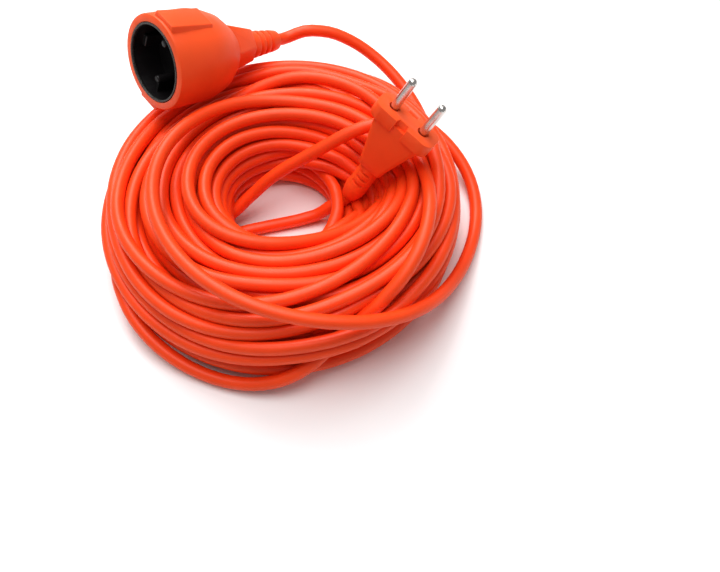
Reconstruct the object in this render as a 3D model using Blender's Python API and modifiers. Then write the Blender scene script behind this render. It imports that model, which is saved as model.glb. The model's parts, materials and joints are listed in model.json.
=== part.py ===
"""Coiled extension cord: a flat two-pin plug, a long round cord and a shuttered trailing socket.

The cord lies in one round coil on the ground. The socket rests on the coil's rim and the plug
stands in the coil's hole. Only the child-safety shutter inside the socket moves.
"""

import math

import bmesh
import bpy
from mathutils import Matrix, Vector

MM = 0.001
GAP = 0.3 * MM

# Cord and coil. The coil is a turned ring; the profile is (radius, height).
CORD_DIAMETER = 7.0 * MM
CORE_DIAMETER = 2.4 * MM
TUBE_STEP = 2.2 * CORD_DIAMETER
COIL_CENTRE = Vector((2.3, -9.9, 0.0)) * MM
COIL_OUTER = ((70, 54), (82, 52), (91, 46), (96.5, 36), (98, 22), (96.5, 9), (92, 0))
COIL_INNER = ((31, 0), (28, 6), (28, 20), (30.5, 33), (36, 43), (46, 50), (57, 53.5))

# Hand-laid routes about the coil's axis: (angle in degrees, radius in mm, height in mm).
SOCKET_LEAD = (
    (131, 117, 38),
    (124, 122, 31),
    (116, 123, 24),
    (107, 120, 17),
    (98, 115, 11),
    (88, 108, 7),
    (78, 99, 7),
    (69, 90, 9),
)
PLUG_LEAD = (
    (57, 26.9, 8.2),
    (56, 19.5, 5),
    (52, 11.4, 3.9),
    (-63, 2.2, 3.7),
    (-113, 15.2, 3.7),
    (-115, 28.6, 4.2),
    (-115, 39.8, 5),
)
LOOSE_LOOP = (
    (-48, 75, 46),
    (-37, 84, 54),
    (-26, 90.5, 51.5),
    (-16, 95.5, 48),
    (-8, 99, 43),
    (0, 101.3, 36),
    (9, 102.2, 27),
    (19, 102.2, 17),
    (28, 103.6, 9.5),
    (37, 106.6, 4.6),
    (45, 109.3, 3.7),
    (54, 111.5, 3.7),
    (61, 112.5, 4.5),
    (67, 110.5, 8),
    (72, 105, 14),
    (77, 97, 20),
    (84, 88, 24),
)
CROSSING_RUN = (
    (-125, 36, 9),
    (-140, 24, 13.5),
    (-163, 18.8, 20),
    (168, 16.4, 26),
    (130, 15.9, 32),
    (98, 23.3, 38.5),
    (84, 33.6, 45.5),
    (79, 42.3, 51.5),
    (77, 51.5, 56),
    (75, 61, 57.5),
    (69, 69, 55),
    (64, 77, 47),
)

# Socket, in its own frame: +Z out of the face, X along the line of the pin holes, Y to the lugs.
SOCKET_FACE = Vector((-84.8, -11.4, 71.0)) * MM
SOCKET_TILT = math.radians(23.7)
SOCKET_ROLL = math.radians(5)
SOCKET_RIM_RADIUS = 24.8 * MM
SOCKET_BARREL_LENGTH = 25 * MM
SOCKET_LENGTH = 64 * MM
INSERT_RADIUS = 20.5 * MM
RECESS_RADIUS = 19.5 * MM
RECESS_DEPTH = 17.5 * MM
INSERT_FLOOR = 2.6 * MM
PIN_SPACING = 19 * MM
PIN_HOLE_RADIUS = 2.8 * MM
POST_OFFSET = 11.3 * MM
LUG_RISE = 26.9 * MM
LUG_LENGTH = 26 * MM
LUG_SETBACK = 1.5 * MM
# The rear block's two ends: (depth, ridge height, half width, height of its side faces' corners).
REAR_FRONT = tuple(size * MM for size in (44, 17, 13, 5.5))
REAR_END = tuple(size * MM for size in (64, 11, 8.4, 4.6))
SHUTTER_TRAVEL = 5.6 * MM
SHUTTER_SIZE = Vector((27, 6.4, 1.6)) * MM
SHUTTER_GAP = 0.5 * MM
SPRING_SEAT = Vector((5, 1.2, 3)) * MM
SPRING_SEAT_Y = 2.4 * MM
SPRING_SOLID_LENGTH = 3 * MM
CARRIER_RADIUS = 15.8 * MM
CARRIER_LENGTH = 21 * MM
CONTACT_RADIUS = 3.3 * MM
CONTACT_LENGTH = 14 * MM
CONTACT_DEPTH = 4.4 * MM
CRIMP_LENGTH = 4 * MM
CRIMP_RADIUS = 1.9 * MM
BOOT_LENGTH = 22 * MM

# Plug, in its own frame: +Z along the pins, X along the line of the pins, face at zero.
PLUG_FACE = Vector((35.2, 59.4, 73.3)) * MM
PLUG_PIN_DIRECTION = Vector((0.242, 0.432, 0.869))
PLUG_PIN_LINE = Vector((0.929, 0.156, -0.336))
PIN_RADIUS = 2.4 * MM
PIN_LENGTH = 19 * MM
FLANGE_LENGTH = 36.4 * MM
FLANGE_WIDTH = 16.4 * MM
FLANGE_THICKNESS = 7.5 * MM
SHANK_RADIUS = 1.9 * MM
SHANK_END = -14.0 * MM
BRIDGE_SIZE = Vector((24.8, 7.0, 6.0)) * MM
BRIDGE_Z = -8.5 * MM
PLUG_BODY_LENGTH = 36 * MM
PLUG_BOOT_LENGTH = 26 * MM

ORANGE = (0.90, 0.105, 0.028, 1.0)
BLACK = (0.018, 0.017, 0.019, 1.0)
RED = (0.55, 0.02, 0.015, 1.0)
GREY = (0.30, 0.29, 0.28, 1.0)
BRASS = (0.78, 0.57, 0.25, 1.0)
NICKEL = (0.72, 0.70, 0.67, 1.0)
STEEL = (0.55, 0.55, 0.56, 1.0)
BROWN = (0.13, 0.045, 0.02, 1.0)
BLUE = (0.02, 0.10, 0.42, 1.0)


def clear_scene():
    for obj in list(bpy.data.objects):
        bpy.data.objects.remove(obj, do_unlink=True)


def new_collection(name):
    collection = bpy.data.collections.new(name)
    bpy.context.scene.collection.children.link(collection)
    return collection


def make_material(name, colour, roughness, metallic=0.0):
    material = bpy.data.materials.new(name)
    material.use_nodes = True
    shader = material.node_tree.nodes["Principled BSDF"]
    shader.inputs["Base Color"].default_value = colour
    shader.inputs["Roughness"].default_value = roughness
    shader.inputs["Metallic"].default_value = metallic
    material.diffuse_color = colour
    return material


def new_frame(name, location, rotation=None):
    """An empty that a group of parts is placed by."""
    empty = bpy.data.objects.new(name, None)
    PARTS.objects.link(empty)
    empty.matrix_world = Matrix.Translation(location) @ (rotation or Matrix()).to_4x4()
    return empty


def add_mesh(name, bm, parent=None, collection=None):
    mesh = bpy.data.meshes.new(name)
    bm.to_mesh(mesh)
    bm.free()
    obj = bpy.data.objects.new(name, mesh)
    (collection or PARTS).objects.link(obj)
    obj.parent = parent
    return obj


def finish(obj, material, smooth_angle=40):
    obj.data.materials.clear()
    obj.data.materials.append(material)
    if obj.type == "MESH" and smooth_angle:
        obj.data.shade_smooth()
        obj.data.set_sharp_from_angle(angle=math.radians(smooth_angle))
    return obj


def box(name, size, centre, parent=None, collection=None, rotation=0.0):
    bm = bmesh.new()
    bmesh.ops.create_cube(bm, size=1.0)
    place = Matrix.Translation(centre) @ Matrix.Rotation(rotation, 4, "Z")
    bmesh.ops.transform(bm, matrix=place @ Matrix.Diagonal((*size, 1.0)), verts=bm.verts)
    return add_mesh(name, bm, parent, collection)


def rod(name, radius, start, end, parent=None, collection=None, segments=24):
    """A straight cylinder from start to end."""
    along = Vector(end) - Vector(start)
    bm = bmesh.new()
    bmesh.ops.create_cone(
        bm, cap_ends=True, segments=segments, radius1=radius, radius2=radius, depth=along.length
    )
    turn = along.to_track_quat("Z", "Y").to_matrix().to_4x4()
    middle = (Vector(start) + Vector(end)) / 2
    bmesh.ops.transform(bm, matrix=Matrix.Translation(middle) @ turn, verts=bm.verts)
    return add_mesh(name, bm, parent, collection)


def turned(name, profile, parent=None, collection=None, steps=48, ring=False):
    """A solid of revolution about Z. The profile of (radius, height) runs down its outer side.

    A ring's profile goes on up its inner side and closes on its first point.
    """
    bm = bmesh.new()
    points = [bm.verts.new((radius, 0, height)) for radius, height in profile]
    for upper, lower in zip(points, points[1:] + points[:1] if ring else points[1:]):
        bm.edges.new((upper, lower))
    obj = add_mesh(name, bm, parent, collection)
    screw = obj.modifiers.new("Turn", "SCREW")
    screw.steps = steps
    screw.render_steps = steps
    screw.use_merge_vertices = True
    screw.merge_threshold = 0.01 * MM
    apply_modifiers(obj)
    return obj


def outline(name, points, depth, top, parent=None, collection=None):
    """A flat plate of the closed outline, from height top down by depth."""
    curve = bpy.data.curves.new(name, "CURVE")
    curve.dimensions = "2D"
    curve.fill_mode = "BOTH"
    curve.extrude = depth / 2
    spline = curve.splines.new("POLY")
    spline.points.add(len(points) - 1)
    for slot, (x, y) in zip(spline.points, points):
        slot.co = (x, y, 0, 1)
    spline.use_cyclic_u = True
    obj = bpy.data.objects.new(name, curve)
    (collection or PARTS).objects.link(obj)
    return as_mesh(obj, parent, Matrix.Translation((0, 0, top - depth / 2)), collection)


def as_mesh(curve_object, parent=None, place=None, collection=None):
    """The curve object as a closed mesh object with the same name."""
    bpy.context.view_layer.update()
    graph = bpy.context.evaluated_depsgraph_get()
    mesh = bpy.data.meshes.new_from_object(curve_object.evaluated_get(graph))
    bm = bmesh.new()
    bm.from_mesh(mesh)
    bmesh.ops.remove_doubles(bm, verts=bm.verts, dist=0.005 * MM)
    bmesh.ops.recalc_face_normals(bm, faces=bm.faces)
    bm.transform(place or Matrix())
    name = curve_object.name
    bpy.data.objects.remove(curve_object, do_unlink=True)
    bpy.data.meshes.remove(mesh)
    return add_mesh(name, bm, parent, collection)


def boolean(obj, other, operation):
    """Applies one Boolean, so that shapes can be built up in order."""
    bpy.context.view_layer.update()
    modifier = obj.modifiers.new(operation.title(), "BOOLEAN")
    modifier.operation = operation
    modifier.solver = "EXACT"
    modifier.object = other
    apply_modifiers(obj)


def apply_modifiers(obj):
    bpy.context.view_layer.update()
    graph = bpy.context.evaluated_depsgraph_get()
    mesh = bpy.data.meshes.new_from_object(obj.evaluated_get(graph))
    obj.modifiers.clear()
    old = obj.data
    obj.data = mesh
    bpy.data.meshes.remove(old)


def join(obj, other):
    """Makes the two shapes one solid, which keeps the first one's name."""
    boolean(obj, other, "UNION")
    bpy.data.objects.remove(other, do_unlink=True)


def cut(obj, cutter, operation="DIFFERENCE"):
    """Cuts the object with a helper shape, which stays in the file as a wire outline."""
    boolean(obj, cutter, operation)
    cutter.hide_render = True
    cutter.display_type = "WIRE"


def bevel(obj, width, segments=2, angle=35):
    modifier = obj.modifiers.new("Bevel", "BEVEL")
    modifier.width = width
    modifier.segments = segments
    modifier.limit_method = "ANGLE"
    modifier.angle_limit = math.radians(angle)
    apply_modifiers(obj)
    return obj


def on_circle(angle, radius, height):
    """A point given by its angle in degrees, radius and height about the coil's axis, in mm."""
    turn = math.radians(angle)
    return COIL_CENTRE + Vector((radius * math.cos(turn), radius * math.sin(turn), height)) * MM


def smooth_route(points, spacing):
    """Points every so often along a smooth curve through the given points."""
    ends = [2 * points[0] - points[1]] + list(points) + [2 * points[-1] - points[-2]]
    fine = []
    for before, start, end, after in zip(ends, ends[1:], ends[2:], ends[3:]):
        leave = (end - before) * 0.5
        arrive = (after - start) * 0.5
        for step in range(24):
            t = step / 24
            a = 2 * t**3 - 3 * t**2 + 1
            b = t**3 - 2 * t**2 + t
            c = -2 * t**3 + 3 * t**2
            d = t**3 - t**2
            fine.append(start * a + leave * b + end * c + arrive * d)
    fine.append(points[-1])
    distances = [0.0]
    for start, end in zip(fine, fine[1:]):
        distances.append(distances[-1] + (end - start).length)
    count = max(2, round(distances[-1] / spacing))
    route = []
    index = 0
    for step in range(count + 1):
        target = distances[-1] * step / count
        while index < len(fine) - 2 and distances[index + 1] < target:
            index += 1
        part = (target - distances[index]) / (distances[index + 1] - distances[index])
        route.append(fine[index].lerp(fine[index + 1], min(1.0, part)))
    return route


def tube(name, points, diameter, resolution=2, parent=None):
    curve = bpy.data.curves.new(name, "CURVE")
    curve.dimensions = "3D"
    curve.bevel_depth = diameter / 2
    curve.bevel_resolution = resolution
    curve.use_fill_caps = True
    spline = curve.splines.new("POLY")
    spline.points.add(len(points) - 1)
    for slot, point in zip(spline.points, points):
        slot.co = (*point, 1)
    obj = bpy.data.objects.new(name, curve)
    PARTS.objects.link(obj)
    obj.parent = parent
    return obj


def socket_housing(frame):
    """The rubber overmould: round barrel with two grip lugs, tapering to a flat rear block."""
    rim, length, barrel = SOCKET_RIM_RADIUS, SOCKET_LENGTH, SOCKET_BARREL_LENGTH
    outer = [
        (0, 0),
        (rim - 1.2 * MM, 0),
        (rim - 0.35 * MM, -0.35 * MM),
        (rim, -1.2 * MM),
        (rim, -barrel),
        (rim - 1.2 * MM, -barrel - 6 * MM),
        (rim - 4.2 * MM, -barrel - 14 * MM),
        (rim - 9.6 * MM, -barrel - 21 * MM),
        (rim - 13.8 * MM, -barrel - 25 * MM),
        (rim - 16.2 * MM, -barrel - 29 * MM),
        (rim - 17.3 * MM, -length + 3 * MM),
        (0, -length + 3 * MM),
    ]
    housing = turned("socket_housing", outer, frame)
    for side in (1, -1):
        lug = socket_lug(frame, side)
        join(housing, lug)
    block = loft("rear_block", [rear_section(*REAR_FRONT), rear_section(*REAR_END)], frame)
    bevel(block, 1.0 * MM, 2)
    join(housing, block)
    cavity = [
        (0, 1 * MM),
        (INSERT_RADIUS + GAP, 1 * MM),
        (INSERT_RADIUS + GAP, -RECESS_DEPTH - INSERT_FLOOR - GAP),
        (16.5 * MM, -RECESS_DEPTH - INSERT_FLOOR - GAP),
        (16.5 * MM, -43 * MM),
        (8 * MM, -50 * MM),
        (CORD_DIAMETER / 2 + GAP, -52 * MM),
        (CORD_DIAMETER / 2 + GAP, -length - 5 * MM),
        (0, -length - 5 * MM),
    ]
    cut(housing, turned("housing_cavity", cavity, frame, CUTTERS))
    return finish(housing, RUBBER)


def rear_section(depth, ridge, side, shoulder):
    """One hexagon across the rear block: ridges above and below, and upright sides."""
    corners = [(side, -shoulder), (side, shoulder), (0, ridge)]
    corners += [(-x, -y) for x, y in corners]
    return [Vector((x, y, -depth)) for x, y in corners]


def socket_lug(frame, side):
    """A raised pad, wider at its foot, that runs back from the rim."""
    half_foot, half_top, fall = 8.6 * MM, 7.2 * MM, 2.0 * MM
    foot = SOCKET_RIM_RADIUS - 3.5 * MM
    corners = [(-half_foot, foot), (half_foot, foot), (half_top, LUG_RISE), (-half_top, LUG_RISE)]
    lug = outline("lug", [(side * x, side * y) for x, y in corners], LUG_LENGTH, -LUG_SETBACK, frame)
    for vertex in lug.data.vertices:
        at_rear = vertex.co.z < -LUG_LENGTH / 2
        if at_rear and abs(vertex.co.y) > (foot + LUG_RISE) / 2:
            vertex.co.y -= side * fall
    return bevel(lug, 0.8 * MM, 2)


def socket_insert(frame):
    """The black cup that takes the plug: thin wall, floor with two pin holes, posts and guides."""
    bottom = -RECESS_DEPTH - INSERT_FLOOR
    profile = [
        (RECESS_RADIUS, 0),
        (INSERT_RADIUS - 0.3 * MM, 0),
        (INSERT_RADIUS, -0.4 * MM),
        (INSERT_RADIUS, bottom),
        (0, bottom),
        (0, -RECESS_DEPTH),
        (RECESS_RADIUS, -RECESS_DEPTH),
    ]
    cup = turned("socket_insert", profile, frame, ring=True)
    for side in (1, -1):
        join(cup, insert_post(frame, side))
        join(cup, insert_guide(frame, side))
    for side in (1, -1):
        x = side * PIN_SPACING / 2
        hole = rod(f"pin_hole_{side}", PIN_HOLE_RADIUS, (x, 0, bottom - MM), (x, 0, 0), frame, CUTTERS)
        cut(cup, hole)
    return finish(cup, MOULDED_BLACK)


def insert_post(frame, side):
    """A round post with a fin out to the wall, where an earthed socket has its clip."""
    tip = -RECESS_DEPTH + 13.5 * MM
    root = -RECESS_DEPTH - 1 * MM
    y = side * POST_OFFSET
    post = rod("post", 2.1 * MM, (0, y, root), (0, y, tip), frame, segments=20)
    bevel(post, 0.9 * MM, 3)
    reach = RECESS_RADIUS + 0.5 * MM - POST_OFFSET
    fin_size = (1.5 * MM, reach, tip - root - 1.6 * MM)
    fin = box("fin", fin_size, (0, y + side * reach / 2, root + fin_size[2] / 2), frame)
    join(post, fin)
    return post


def insert_guide(frame, side):
    """A guide block on the cup's wall, in line with the pins."""
    depth = 3.0 * MM
    height = 11 * MM
    centre = (side * (RECESS_RADIUS + 0.4 * MM - depth / 2), 0, -RECESS_DEPTH + height / 2 - 0.5 * MM)
    guide = box("guide", (depth, 7 * MM, height + 1 * MM), centre, frame)
    return bevel(guide, 0.5 * MM, 1)


def shutter_plane():
    """Height of the shutter's middle in the socket's frame."""
    return -RECESS_DEPTH - INSERT_FLOOR - SHUTTER_GAP - SHUTTER_SIZE.z / 2


def shutter(frame):
    """The red plate that closes both pin holes; it slides along Y against its spring."""
    centre = Vector((0, 0, shutter_plane()))
    pivot = bpy.data.objects.new("shutter_slide", None)
    PARTS.objects.link(pivot)
    pivot.parent = frame
    pivot.location = centre
    plate = box("shutter", SHUTTER_SIZE, (0, 0, 0), pivot)
    bevel(plate, 0.3 * MM, 1)
    seat_z = -(SPRING_SEAT.z + SHUTTER_SIZE.z) / 2 + GAP
    join(plate, box("spring_seat", SPRING_SEAT, (0, SPRING_SEAT_Y, seat_z), pivot))
    return finish(plate, SHUTTER_RED, 0)


def contact_carrier(frame):
    """The rigid block behind the cup: shutter track in front, a well for each contact behind."""
    top = -RECESS_DEPTH - INSERT_FLOOR - GAP
    bottom = top - CARRIER_LENGTH
    block = rod("contact_carrier", CARRIER_RADIUS, (0, 0, bottom), (0, 0, top), frame, segments=40)
    flats_size = (3 * CARRIER_RADIUS, 1.7 * CARRIER_RADIUS, 3 * CARRIER_LENGTH)
    flats = box("carrier_flats", flats_size, (0, 0, (top + bottom) / 2), frame, CUTTERS)
    cut(block, flats, "INTERSECT")
    depth = SHUTTER_SIZE.z + 2 * SHUTTER_GAP
    track_size = (SHUTTER_SIZE.x + 2 * SHUTTER_GAP, 3 * CARRIER_RADIUS, depth)
    cut(block, box("shutter_track", track_size, (0, 0, top - depth / 2 + GAP), frame, CUTTERS))
    lane_length = SPRING_SEAT_Y + SPRING_SEAT.y / 2 + SHUTTER_TRAVEL + SPRING_SOLID_LENGTH
    lane_size = Vector((6.4 * MM, lane_length, 6.4 * MM))
    lane_middle = (0, lane_length / 2, top - lane_size.z / 2)
    cut(block, box("spring_lane", lane_size, lane_middle, frame, CUTTERS))
    for side in (1, -1):
        x = side * PIN_SPACING / 2
        ends = (x, 0, bottom - MM), (x, 0, top + MM)
        cut(block, rod(f"contact_well_{side}", CONTACT_RADIUS + GAP, *ends, frame, CUTTERS))
    return finish(block, CARRIER_GREY)


def spring_points():
    """The shutter's return spring, a small helix along Y between the shutter and the track's end."""
    start, end, turns, radius = 3.6 * MM, 11.0 * MM, 4, 1.2 * MM
    z = shutter_plane() - SHUTTER_SIZE.z / 2 - SPRING_SEAT.z / 2
    per_turn = 8
    points = []
    for step in range(turns * per_turn + 1):
        angle = 2 * math.pi * step / per_turn
        y = start + (end - start) * step / (turns * per_turn)
        points.append(Vector((radius * math.cos(angle), y, z + radius * math.sin(angle))))
    return points


def contact(frame, side, name):
    """A slotted brass sleeve that grips a pin, with a crimp barrel at its rear."""
    x = side * PIN_SPACING / 2
    top = -RECESS_DEPTH - INSERT_FLOOR - CONTACT_DEPTH
    bottom = top - CONTACT_LENGTH
    sleeve = rod(name, CONTACT_RADIUS, (x, 0, bottom), (x, 0, top), frame)
    ends = (x, 0, bottom + 1.5 * MM), (x, 0, top + MM)
    bore = rod(f"{name}_bore", PIN_RADIUS + 0.1 * MM, *ends, frame, CUTTERS)
    cut(sleeve, bore)
    slot_size = (9 * MM, 0.8 * MM, 10 * MM)
    slot = box(f"{name}_slot", slot_size, (x, 0, top - 4 * MM), frame, CUTTERS)
    cut(sleeve, slot)
    ends = (x, 0, bottom - CRIMP_LENGTH), (x, 0, bottom + 0.5 * MM)
    barrel = rod("crimp", CRIMP_RADIUS, *ends, frame, segments=16)
    join(sleeve, barrel)
    return finish(sleeve, CONTACT_BRASS)


def cores(frame, prefix, start_z, end_z, start_x, middle_z):
    """The brown and blue cores, from the contacts to where the jacket begins."""
    for side, colour, material in ((-1, "brown", CORE_BROWN), (1, "blue", CORE_BLUE)):
        near = side * (CORE_DIAMETER / 2 + GAP / 2)
        points = [
            Vector((side * start_x, 0, start_z)),
            Vector((side * start_x, 0, start_z - 1.2 * MM)),
            Vector((side * (start_x + 2 * abs(near)) / 3, 0, middle_z)),
            Vector((near, 0, end_z + 2.5 * MM)),
            Vector((near, 0, end_z)),
        ]
        route = smooth_route(points, 1.6 * MM)
        core = tube(f"{prefix}_core_{colour}", route, CORE_DIAMETER, 2, frame)
        finish(core, material)


def socket_boot(frame):
    """The tapered strain relief behind the socket, with three grooves round it."""
    top = -SOCKET_LENGTH - GAP
    end = top - BOOT_LENGTH
    profile = [(CORD_DIAMETER / 2 + GAP, top), (8.0 * MM, top), (7.6 * MM, top - 4.6 * MM)]
    for index in range(3):
        z = top - (4.6 + 4.4 * index) * MM
        radius = (7.6 - 0.45 * index) * MM
        profile += [
            (radius - 1.5 * MM, z - 0.3 * MM),
            (radius - 1.5 * MM, z - 1.5 * MM),
            (radius - 0.2 * MM, z - 1.8 * MM),
            (radius - 0.45 * MM, z - 4.4 * MM),
        ]
    profile += [(5.6 * MM, end + 0.8 * MM), (4.8 * MM, end), (CORD_DIAMETER / 2 + GAP, end)]
    boot = turned("socket_strain_relief", profile, frame, steps=28, ring=True)
    return finish(boot, RUBBER)


def build_socket():
    turn = Matrix.Rotation(math.pi / 2 - SOCKET_TILT, 4, "X") @ Matrix.Rotation(-SOCKET_ROLL, 4, "Z")
    frame = new_frame("socket_frame", SOCKET_FACE + COIL_CENTRE, turn)
    socket_housing(frame)
    socket_insert(frame)
    contact_carrier(frame)
    shutter(frame)
    spring = tube("shutter_spring", spring_points(), 0.5 * MM, 1, frame)
    finish(spring, SPRING_STEEL)
    contact(frame, -1, "socket_contact_left")
    contact(frame, 1, "socket_contact_right")
    contact_end = -RECESS_DEPTH - INSERT_FLOOR - CONTACT_DEPTH - CONTACT_LENGTH - CRIMP_LENGTH - GAP
    cores(frame, "socket", contact_end, -51.5 * MM, PIN_SPACING / 2, -46.5 * MM)
    socket_boot(frame)
    return frame


def flange_outline():
    """Half the plug's face, notched in the middle of its long side, mirrored to the whole."""
    half_length, half_width = FLANGE_LENGTH / 2, FLANGE_WIDTH / 2
    corner = 5.2 * MM
    notch_half, notch_depth = 2.9 * MM, 3.2 * MM
    side = [(notch_half, half_width - notch_depth), (notch_half + 0.4 * MM, half_width)]
    for step in range(6):
        angle = math.pi / 2 - math.pi / 2 * step / 5
        x = half_length - corner + corner * math.cos(angle)
        y = half_width - corner + corner * math.sin(angle)
        side.append((x, y))
    right = side + [(x, -y) for x, y in reversed(side)]
    return right + [(-x, -y) for x, y in right]


def body_section(z, half_length, half_width, round_by):
    """One rounded rectangle across the plug's body, as points in order."""
    points = []
    for corner in range(4):
        sx = 1 if corner in (0, 3) else -1
        sy = 1 if corner in (0, 1) else -1
        for step in range(4):
            angle = math.pi / 2 * (corner + step / 3)
            x = sx * (half_length - round_by) + round_by * math.cos(angle)
            y = sy * (half_width - round_by) + round_by * math.sin(angle)
            points.append(Vector((x, y, z)))
    return points


def loft(name, sections, parent, collection=None):
    """A closed solid through unlike sections that have the same number of points."""
    bm = bmesh.new()
    rings = [[bm.verts.new(point) for point in section] for section in sections]
    for upper, lower in zip(rings, rings[1:]):
        for index in range(len(upper)):
            after = (index + 1) % len(upper)
            bm.faces.new((upper[index], upper[after], lower[after], lower[index]))
    bm.faces.new(rings[0])
    bm.faces.new(rings[-1])
    bmesh.ops.recalc_face_normals(bm, faces=bm.faces)
    return add_mesh(name, bm, parent, collection)


def plug_body(frame):
    """The moulded plug: notched flange, tapering grip and a hollow that holds the pin bridge."""
    body = outline("plug_body", flange_outline(), FLANGE_THICKNESS, 0, frame)
    bevel(body, 0.6 * MM, 2, 50)
    grip = loft(
        "grip",
        [
            body_section(-4 * MM, 14.0 * MM, 7.0 * MM, 3.0 * MM),
            body_section(-12 * MM, 13.8 * MM, 7.0 * MM, 3.0 * MM),
            body_section(-22 * MM, 10.8 * MM, 7.0 * MM, 2.8 * MM),
            body_section(-32 * MM, 8.0 * MM, 6.8 * MM, 2.4 * MM),
            body_section(-PLUG_BODY_LENGTH, 7.3 * MM, 6.4 * MM, 2.0 * MM),
        ],
        frame,
    )
    join(body, grip)
    for side in (1, -1):
        dent_x, dent_z = side * 9.4 * MM, -33.0 * MM
        ends = (dent_x, 4 * MM, dent_z), (dent_x, 12 * MM, dent_z)
        cut(body, rod(f"thumb_dent_{side}", 2.2 * MM, *ends, frame, CUTTERS, 16))
        x = side * PIN_SPACING / 2
        ends = (x, 0, -1.2 * MM), (x, 0, MM)
        cut(body, rod(f"pin_well_{side}", PIN_RADIUS + 0.75 * MM, *ends, frame, CUTTERS))
        ends = (x, 0, -6 * MM), (x, 0, MM)
        cut(body, rod(f"pin_bore_{side}", PIN_RADIUS + GAP, *ends, frame, CUTTERS))
    hollow_size = BRIDGE_SIZE + Vector((2 * GAP, 2 * GAP, 2 * GAP))
    hollow = box("bridge_hollow", hollow_size, (0, 0, BRIDGE_Z), frame, CUTTERS)
    cut(body, hollow)
    funnel = loft(
        "core_hollow",
        [
            body_section(-11.5 * MM, 11.9 * MM, 2.6 * MM, 1.2 * MM),
            body_section(-14.3 * MM, 11.9 * MM, 2.6 * MM, 1.2 * MM),
            body_section(-16.5 * MM, 11.0 * MM, 2.6 * MM, 1.2 * MM),
            body_section(-22.5 * MM, 7.0 * MM, 2.6 * MM, 1.2 * MM),
            body_section(-31 * MM, 3.4 * MM, 2.6 * MM, 1.2 * MM),
            body_section(-32 * MM, 3.3 * MM, 2.6 * MM, 1.2 * MM),
        ],
        frame,
        CUTTERS,
    )
    cut(body, funnel)
    entry = (0, 0, -31.5 * MM), (0, 0, -PLUG_BODY_LENGTH - MM)
    cut(body, rod("cord_entry", CORD_DIAMETER / 2 + GAP, *entry, frame, CUTTERS))
    return finish(body, RUBBER)


def pin_bridge(frame):
    """The rigid bar that keeps the two pins at their spacing."""
    bridge = box("pin_bridge", BRIDGE_SIZE, (0, 0, BRIDGE_Z), frame)
    bevel(bridge, 0.6 * MM, 1)
    for side in (1, -1):
        x = side * PIN_SPACING / 2
        ends = (x, 0, BRIDGE_Z - BRIDGE_SIZE.z), (x, 0, 0)
        cut(bridge, rod(f"bridge_hole_{side}", SHANK_RADIUS + GAP, *ends, frame, CUTTERS))
    return finish(bridge, CARRIER_GREY)


def pin(frame, side, name):
    """A solid pin with a rounded tip, a thinner shank in the bridge and a crimp end."""
    x = side * PIN_SPACING / 2
    profile = [(0, PIN_LENGTH)]
    for step in range(1, 6):
        angle = math.pi / 2 * step / 5
        profile.append(
            (PIN_RADIUS * math.sin(angle), PIN_LENGTH - PIN_RADIUS * (1 - math.cos(angle)))
        )
    shoulder = BRIDGE_Z + BRIDGE_SIZE.z / 2 + 0.4 * MM
    profile += [
        (PIN_RADIUS, shoulder),
        (SHANK_RADIUS, shoulder),
        (SHANK_RADIUS, SHANK_END),
        (0, SHANK_END),
    ]
    obj = turned(name, profile, frame, steps=24)
    obj.data.transform(Matrix.Translation((x, 0, 0)))
    return finish(obj, PIN_NICKEL)


def plug_boot(frame):
    """The plug's strain relief: a round neck with three slots each side and a plain collar."""
    top = -PLUG_BODY_LENGTH - GAP
    end = top - PLUG_BOOT_LENGTH
    profile = [
        (CORD_DIAMETER / 2 + GAP, top),
        (6.0 * MM, top),
        (6.0 * MM, top - 16 * MM),
        (6.3 * MM, top - 17 * MM),
        (6.3 * MM, top - 19 * MM),
        (5.6 * MM, end + 3 * MM),
        (4.6 * MM, end),
        (CORD_DIAMETER / 2 + GAP, end),
    ]
    boot = turned("plug_strain_relief", profile, frame, steps=28, ring=True)
    for side in (1, -1):
        for index in range(3):
            z = top - (4 + 4.2 * index) * MM
            centre = (0, side * 6.4 * MM, z)
            slot = box(f"relief_slot_{side}_{index}", (14 * MM, 3.4 * MM, 1.5 * MM), centre, frame, CUTTERS)
            cut(boot, slot)
    return finish(boot, RUBBER)


def plug_rotation():
    along = PLUG_PIN_DIRECTION.normalized()
    line = (PLUG_PIN_LINE - along * PLUG_PIN_LINE.dot(along)).normalized()
    across = along.cross(line)
    return Matrix((line, across, along)).transposed()


def build_plug():
    frame = new_frame("plug_frame", PLUG_FACE + COIL_CENTRE, plug_rotation())
    plug_body(frame)
    pin_bridge(frame)
    pin(frame, -1, "plug_pin_left")
    pin(frame, 1, "plug_pin_right")
    cores(frame, "plug", SHANK_END - GAP, -30.6 * MM, PIN_SPACING / 2, -22 * MM)
    plug_boot(frame)
    return frame


def coil_profile(grow=0.0):
    """The ring's section, down its outer side and back up its inner side."""
    points = [Vector((r, z)) * MM for r, z in COIL_OUTER + COIL_INNER]
    if not grow:
        return [tuple(point) for point in points]
    middle = sum(points, Vector((0, 0))) / len(points)
    return [tuple(point + (point - middle).normalized() * grow) for point in points]


def socket_seat(frame):
    """The room that the socket and its strain relief take up in the coil."""
    rim = SOCKET_RIM_RADIUS + 2 * GAP
    profile = [
        (0, 2 * MM),
        (rim + 5 * MM, 2 * MM),
        (rim + 5 * MM, -28 * MM),
        (rim - 3 * MM, -SOCKET_BARREL_LENGTH - 15 * MM),
        (17 * MM, -SOCKET_BARREL_LENGTH - 24 * MM),
        (17 * MM, -SOCKET_LENGTH - MM),
        (9 * MM, -SOCKET_LENGTH - 2 * MM),
        (6.5 * MM, -SOCKET_LENGTH - BOOT_LENGTH - 8 * MM),
        (0, -SOCKET_LENGTH - BOOT_LENGTH - 8 * MM),
    ]
    return turned("socket_seat", profile, frame, CUTTERS, 32)


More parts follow.
